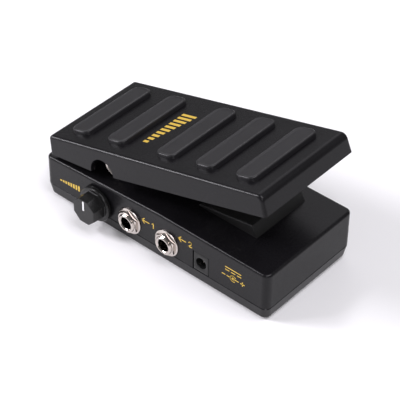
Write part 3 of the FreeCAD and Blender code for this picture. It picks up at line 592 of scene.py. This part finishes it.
def powerSocket():
    use = socketShape
    low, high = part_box("power_socket")
    middle = (low + high) / 2
    place = outOfWall(middle.x, low.y, middle.z, -1)
    halfLong, halfTall = (high.x - low.x) / 2 / mm, (high.z - low.z) / 2 / mm
    back = (high.y - low.y) / mm
    rings = [boxRing(halfLong - inset, halfTall - inset, use["corner"] - inset, use["steps"],
                     -depth, place) for inset, depth in [(0, back)] + use["edge"]]
    rings += [boxRing(radius, radius, radius, use["steps"], -depth, place)
              for radius, depth in use["hole"]]
    mesh = bmesh.new()
    skin(mesh, rings, closeStart=True, closeEnd=True)
    socket = finishMesh("socket_moulding", mesh, "gloss", "base", sharp=40)
    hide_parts("power_socket")


powerSocket()
print("knob and power socket built")

clipShape = {"from": 21.7, "segments": 96,
             # radius and height, from the bore's inner face out, up the rim and into the dish
             "profile": [(3.0, 0), (6.0, 0), (6.1, 0.1), (6.1, 1.38), (6.0, 1.5), (5.85, 1.5),
                         (5.65, 1.42), (5.1, 0.76), (4.85, 0.7), (3.0, 0.7), (3.0, 0)]}


def axleClips():
    use = clipShape
    mesh = bmesh.new()
    for side in (-1, 1):
        place = outOfWall(pivot.x, side * use["from"] * mm, pivot.z, side)
        lathe(mesh, use["profile"], place, use["segments"])
    clips = finishMesh("dished_clips", mesh, "chrome", "treadle", sharp=30)
    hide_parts("axle_clips")


axleClips()

bumperShape = {"radius": 3.5, "segments": 48, "domeAngles": (2, 12, 24, 36, 48, 60, 72, 82),
               # along, across and up from the pivot, in the treadle's axes
               "places": {"heel_bumpers": (-24.8, 14, 2.4), "toe_bumpers": (85.2, 18, 3.2)},
               # radius and height of the groove where the button sits in the treadle
               "neck": [(3.5, 0), (3.5, 0.35), (3.25, 0.45), (3.25, 0.6), (3.5, 0.7), (3.5, 1)]}


def bumperButtons():
    use = bumperShape
    radius = use["radius"]
    dome = [(radius * math.sin(math.radians(angle)), -radius * math.cos(math.radians(angle)))
            for angle in use["domeAngles"]]
    for name, (along, across, up) in use["places"].items():
        mesh = bmesh.new()
        for side in (-1, 1):
            place = treadleFrame @ Matrix.Translation(Vector((along, side * across, up)) * mm)
            lathe(mesh, dome + use["neck"], place, use["segments"], closeStart=True, closeEnd=True)
        buttons = finishMesh(name[:-1] + "_buttons", mesh, "rubber", "treadle",
                             sharp=40)
        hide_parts(name)


bumperButtons()

screwShape = {"head": 3.0, "points": 72, "arm": 1.75, "armHalf": 0.38, "deep": 0.8,
              "floorShrink": 0.7,
              # radius and height from the head's face to the tip
              "turned": [(2.85, 0), (3.0, 0.12), (1.5, 1.5), (1.5, 13.2), (0.7, 14.0)]}


def crossRing(height, shrink, place):
    # a four-armed cross seen as one ring: each ray ends where it leaves the cross
    use = screwShape
    arm, half = use["arm"] * shrink, use["armHalf"] * shrink
    ring = []
    for index in range(use["points"]):
        angle = 2 * math.pi * index / use["points"]
        off = abs((angle + math.pi / 4) % (math.pi / 2) - math.pi / 4)
        radius = arm / math.cos(off) if math.tan(off) * arm <= half else half / math.sin(off)
        spot = Vector((radius * math.cos(angle), radius * math.sin(angle), height))
        ring.append(place @ (spot * mm))
    return ring


def coverScrews():
    use = screwShape
    low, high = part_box("cover_screws")
    inset = use["head"] * mm
    mesh = bmesh.new()
    for x in (low.x + inset, high.x - inset):
        for y in (low.y + inset, high.y - inset):
            place = Matrix.Translation((x, y, low.z))
            cross = [crossRing(use["deep"], use["floorShrink"], place), crossRing(0, 1, place)]
            turned = [turnedRing(radius, height, use["points"], place)
                      for radius, height in use["turned"]]
            skin(mesh, cross + turned, closeStart=True, closeEnd=True)
    screws = finishMesh("cross_head_screws", mesh, "zinc", "base", sharp=30)
    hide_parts("cover_screws")


coverScrews()

soleShape = {"corner": 5.0, "steps": 8,
             # inset from the outline and height from the floor
             "edge": [(0.9, 0.0), (0.45, 0.08), (0.15, 0.3), (0.0, 0.7), (0.0, 1.5)]}


def soleSheet():
    use = soleShape
    low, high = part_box("sole_mat")
    place = Matrix.Translation(((low.x + high.x) / 2, (low.y + high.y) / 2, low.z))
    halfLong, halfWide = (high.x - low.x) / 2 / mm, (high.y - low.y) / 2 / mm
    rings = [boxRing(halfLong - inset, halfWide - inset, use["corner"] - inset, use["steps"],
                     height, place) for inset, height in use["edge"]]
    mesh = bmesh.new()
    skin(mesh, rings, closeStart=True, closeEnd=True)
    sheet = finishMesh("rubber_sole", mesh, "sole", "base", sharp=50)
    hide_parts("sole_mat")


soleSheet()
print("clips, bumpers, screws and sole built")

inkShape = {"thick": 0.05, "lift": 0.01, "stroke": 0.5, "circleSteps": 20,
            "arrowReach": 4.4, "arrowHead": (1.5, 1.4)}
numerals = {1: [(-0.8, 0.7), (0, 1.4), (0, -1.4)],
            2: [(-0.8, 0.9), (-0.3, 1.4), (0.4, 1.4), (0.8, 0.9), (0.7, 0.2), (-0.9, -1.4),
                (0.9, -1.4)]}


def ink(mesh, outline, place):
    # one closed outline in millimetres, printed on the place's level face
    use = inkShape
    rings = [[place @ (Vector((x, y, use["lift"] + lift)) * mm) for x, y in outline]
             for lift in (0, use["thick"])]
    skin(mesh, rings, closeStart=True, closeEnd=True)


def bar(left, low, right, high):
    return [(left, low), (right, low), (right, high), (left, high)]


def circle(x, y, radius, first=0, last=360, count=inkShape["circleSteps"]):
    angles = [math.radians(first + (last - first) * step / count) for step in range(count)]
    return [(x + radius * math.cos(angle), y + radius * math.sin(angle)) for angle in angles]


def strokes(points):
    # a pen line through the points, as one four-sided outline for each length
    half = inkShape["stroke"] / 2
    lines = []
    for (startX, startY), (endX, endY) in zip(points, points[1:]):
        long = math.hypot(endX - startX, endY - startY)
        alongX, alongY = (endX - startX) / long * half, (endY - startY) / long * half
        lines.append([(startX - alongX + alongY, startY - alongY - alongX),
                      (endX + alongX + alongY, endY + alongY - alongX),
                      (endX + alongX - alongY, endY + alongY + alongX),
                      (startX - alongX - alongY, startY - alongY + alongX)])
    return lines


def arrow(tip, y):
    back, half = inkShape["arrowHead"]
    shaft = strokes([(tip + inkShape["arrowReach"], y), (tip, y)])
    return shaft + strokes([(tip + back, y + half), (tip, y), (tip + back, y - half)])


def numeral(number, x, y):
    return strokes([(x + right, y + up) for right, up in numerals[number]])


# rising bars, from the middle of the first one on the treadle and its left edge on the wall
treadleBars = {"count": 10, "from": -14.6, "pitch": 3.0, "wide": 1.7, "low": 15.4,
               "short": 3.0, "grow": 0.68}
knobBars = {"count": 8, "from": -60.3, "pitch": 1.75, "wide": 1.1, "low": 13.4,
            "short": 0.9, "grow": 0.33}


def treadleEmblem():
    use = treadleBars
    top = (treadleFrame.inverted() @ centreOf("tread_pad_3")).z - padShape["tall"] / 2 * mm
    place = treadleFrame @ Matrix.Translation((0, 0, top))
    mesh = bmesh.new()
    for number in range(use["count"]):
        across = use["from"] + use["pitch"] * number
        length = use["short"] + use["grow"] * number
        ink(mesh, bar(use["low"], across - use["wide"] / 2, use["low"] + length,
                      across + use["wide"] / 2), place)
    finishMesh("treadle_level_bars", mesh, "gold", "treadle")


def knobMark():
    use = knobBars
    bars = []
    for number in range(use["count"]):
        left = use["from"] + use["pitch"] * number
        length = use["short"] + use["grow"] * number
        bars.append(bar(left, use["low"], left + use["wide"], use["low"] + length))
    return bars


# arrow tip, numeral and height of each input's mark
inputPrint = {1: (-5.9, 1.3, 19.4), 2: (17.0, 24.2, 21.3)}


def inputMark(number):
    tip, middle, height = inputPrint[number]
    return arrow(tip, height) + numeral(number, middle, height)


powerPrint = {"currentHigh": 20.9, "currentLow": 19.3, "full": (45.6, 54.6),
              "dashes": [(45.6, 47.6), (49.1, 51.1), (52.6, 54.6)],
              "plugHigh": 15.9, "plugMiddle": 50.1, "pin": 0.75,
              # radius, first and last angle, and lengths of the open ring
              "ring": (1.7, 40, 330, 10),
              # minus, its lead, the pin's lead and the plus's level stroke
              "plugLines": [(43.7, 45.3), (46.6, 48.2), (50.1, 53.2), (54.7, 56.7)],
              "plusMiddle": 55.7, "plusHalf": 1.0}


def powerMark():
    # direct current over minus, plug and plus
    use = powerPrint
    high, middle = use["plugHigh"], use["plugMiddle"]
    levels = [(use["full"], use["currentHigh"])]
    levels += [(dash, use["currentLow"]) for dash in use["dashes"]]
    outlines = []
    for (left, right), level in levels:
        outlines += strokes([(left, level), (right, level)])
    outlines.append(circle(middle, high, use["pin"]))
    outlines += strokes(circle(middle, high, *use["ring"]))
    for left, right in use["plugLines"]:
        outlines += strokes([(left, high), (right, high)])
    plus, half = use["plusMiddle"], use["plusHalf"]
    return outlines + strokes([(plus, high - half), (plus, high + half)])


def wallMarks():
    place = outOfWall(0, nearWall, 0, -1)
    marks = {"boost_mark": knobMark(), "input_1_mark": inputMark(1),
             "input_2_mark": inputMark(2), "power_mark": powerMark()}
    for name, outlines in marks.items():
        mesh = bmesh.new()
        for outline in outlines:
            ink(mesh, outline, place)
        finishMesh(name, mesh, "gold", "base")


treadleEmblem()
wallMarks()
print("printed marks built")

studio = {"floor": (grey(0.93), grey(0.95)), "floorCloud": (3, 2), "floorRough": 0.9,
          "floorSize": 3, "world": 0.24, "tint": (1.0, 0.975, 1.035), "lampAim": (0, 0, 0.02)}


def floorAndWorld():
    use = studio
    paint = Paint("paleFloor")
    paint.set("Base Color", paint.blend(paint.noise(*use["floorCloud"]), *use["floor"]))
    paint.set("Roughness", use["floorRough"])
    mesh = bmesh.new()
    bmesh.ops.create_grid(mesh, x_segments=1, y_segments=1, size=use["floorSize"])
    built = bpy.data.meshes.new("floor")
    mesh.to_mesh(built)
    mesh.free()
    built.materials.append(paint.material)
    floor = bpy.data.objects.new("floor", built)
    bpy.context.scene.collection.objects.link(floor)
    floor.location.z = cadBox[0][2]
    world = bpy.data.worlds.new("studio")
    bpy.context.scene.world = world
    world.use_nodes = True
    sky = world.node_tree.nodes["Background"]
    sky.inputs["Color"].default_value = (1, 1, 1, 1)
    sky.inputs["Strength"].default_value = use["world"]


# name: place, size, power
lamps = {"backPanel": ((-0.8, 0.92, 1.02), (1.0, 0.8), 2.2),
         "edgeLight": ((-0.8, -0.75, 1.0), (0.5, 0.2), 9.5),
         "treadleEdge": ((-1.24, -0.79, 0.6), (0.5, 0.3), 12),
         "overhead": ((0.62, 0.1, 1.45), (1.1, 1.0), 15),
         "keyGlint": ((0.7, -0.62, 0.62), (0.1, 0.1), 1.6)}


def softLights():
    for name, (place, size, power) in lamps.items():
        lamp = bpy.data.lights.new(name, "AREA")
        lamp.shape = "RECTANGLE"
        lamp.size, lamp.size_y = size
        lamp.energy = power
        lamp.color = studio["tint"]
        holder = bpy.data.objects.new(name, lamp)
        bpy.context.scene.collection.objects.link(holder)
        holder.location = place
        facing = Vector(studio["lampAim"]) - Vector(place)
        holder.rotation_euler = facing.to_track_quat("-Z", "Y").to_euler()


cameraSetting = {"azimuth": 40.71, "elevation": 40.16, "roll": 0.64, "lens": 142.17,
                 "sensor": 36, "nearest": 0.01, "reach": 0.76268,
                 "aim": (0.00005, 0.00332, 0.01279)}


def setCamera():
    use = cameraSetting
    around, above, lean = (math.radians(use[key]) for key in ("azimuth", "elevation", "roll"))
    level = math.cos(above)
    away = Vector((math.sin(around) * level, -math.cos(around) * level, math.sin(above)))
    right = Vector((math.cos(around), math.sin(around), 0))
    up = away.cross(right)
    turnedRight = right * math.cos(lean) + up * math.sin(lean)
    turnedUp = up * math.cos(lean) - right * math.sin(lean)
    lens = bpy.data.cameras.new("camera")
    lens.lens = use["lens"]
    lens.sensor_width = use["sensor"]
    lens.clip_start = use["nearest"]
    camera = bpy.data.objects.new("camera", lens)
    bpy.context.scene.collection.objects.link(camera)
    turned = Matrix((turnedRight, turnedUp, away)).transposed().to_4x4()
    camera.matrix_world = Matrix.Translation(Vector(use["aim"]) + away * use["reach"]) @ turned
    bpy.context.scene.camera = camera


floorAndWorld()
softLights()
setCamera()
bpy.context.scene.view_settings.view_transform = "Standard"
print("stage, light and camera set")
